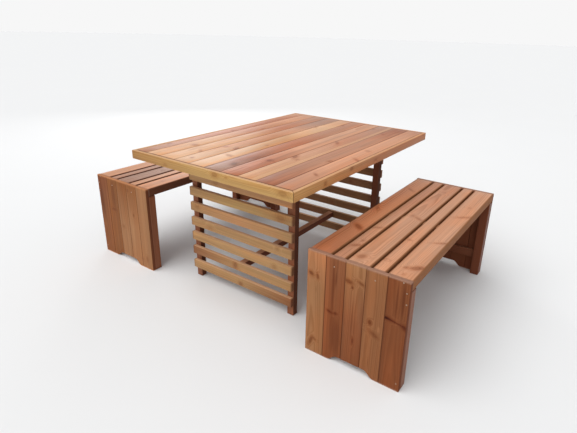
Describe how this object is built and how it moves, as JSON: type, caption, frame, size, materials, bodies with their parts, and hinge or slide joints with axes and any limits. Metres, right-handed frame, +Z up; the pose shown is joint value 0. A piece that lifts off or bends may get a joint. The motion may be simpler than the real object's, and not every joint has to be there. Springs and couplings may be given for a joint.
{
  "type": "garden table and bench set",
  "caption": "Rectangular wooden garden table on slatted end frames, with a free-standing plank bench along each long side that slides in under the top.",
  "frame": {"origin": "on the floor under the middle of the whole set's box; the table's own middle is 22 mm from it, toward the right bench", "axes": "+X along the table from its near end, the left end of the picture's view, to its far end; +Y across the table from the right bench to the left bench; +Z up"},
  "size_m": [1.382, 1.975, 0.75],
  "materials": {
    "top_board": "oiled larch boards, satin, in mixed salmon and brown tones",
    "fascia": "oiled larch, satin, golden",
    "slat": "oiled larch, satin, tan brown",
    "table_frame": "dark stained softwood, satin",
    "seat_plank": "oiled larch planks, satin, orange brown",
    "bench_frame": "dark stained softwood, satin",
    "end_panel": "oiled larch boards, satin, in mixed golden and reddish tones"
  },
  "bodies": {
    "table": {"top_board_01": "top_board", "top_board_02": "top_board", "top_board_03": "top_board", "top_board_04": "top_board", "top_board_05": "top_board", "top_board_06": "top_board", "top_board_07": "top_board", "top_board_08": "top_board", "top_board_09": "top_board", "top_board_10": "top_board", "fascia_right": "fascia", "fascia_left": "fascia", "fascia_near": "fascia", "fascia_far": "fascia", "slat_near_1": "slat", "slat_near_2": "slat", "slat_near_3": "slat", "slat_near_4": "slat", "slat_near_5": "slat", "slat_near_6": "slat", "slat_near_7": "slat", "slat_near_8": "slat", "slat_far_1": "slat", "slat_far_2": "slat", "slat_far_3": "slat", "slat_far_4": "slat", "slat_far_5": "slat", "slat_far_6": "slat", "slat_far_7": "slat", "slat_far_8": "slat", "post_near_right": "table_frame", "post_near_left": "table_frame", "post_far_right": "table_frame", "post_far_left": "table_frame", "bearer_near": "table_frame", "bearer_far": "table_frame", "stretcher": "table_frame"},
    "bench_right": {"bench_right_plank_1": "seat_plank", "bench_right_plank_2": "seat_plank", "bench_right_plank_3": "seat_plank", "bench_right_plank_4": "seat_plank", "bench_right_plank_5": "seat_plank", "bench_right_post_near_inner": "bench_frame", "bench_right_post_near_outer": "bench_frame", "bench_right_post_far_inner": "bench_frame", "bench_right_post_far_outer": "bench_frame", "bench_right_panel_near": "end_panel", "bench_right_panel_far": "end_panel"},
    "bench_left": {"bench_left_plank_1": "seat_plank", "bench_left_plank_2": "seat_plank", "bench_left_plank_3": "seat_plank", "bench_left_plank_4": "seat_plank", "bench_left_plank_5": "seat_plank", "bench_left_post_near_inner": "bench_frame", "bench_left_post_near_outer": "bench_frame", "bench_left_post_far_inner": "bench_frame", "bench_left_post_far_outer": "bench_frame", "bench_left_panel_near": "end_panel", "bench_left_panel_far": "end_panel"}
  },
  "joints": [
    {"name": "bench_right_slide", "type": "slide", "parent": "table", "child": "bench_right", "axis": [0, -1, 0], "range_m": [-0.17, 0.4]},
    {"name": "bench_left_slide", "type": "slide", "parent": "table", "child": "bench_left", "axis": [0, 1, 0], "range_m": [-0.215, 0.4]}
  ]
}
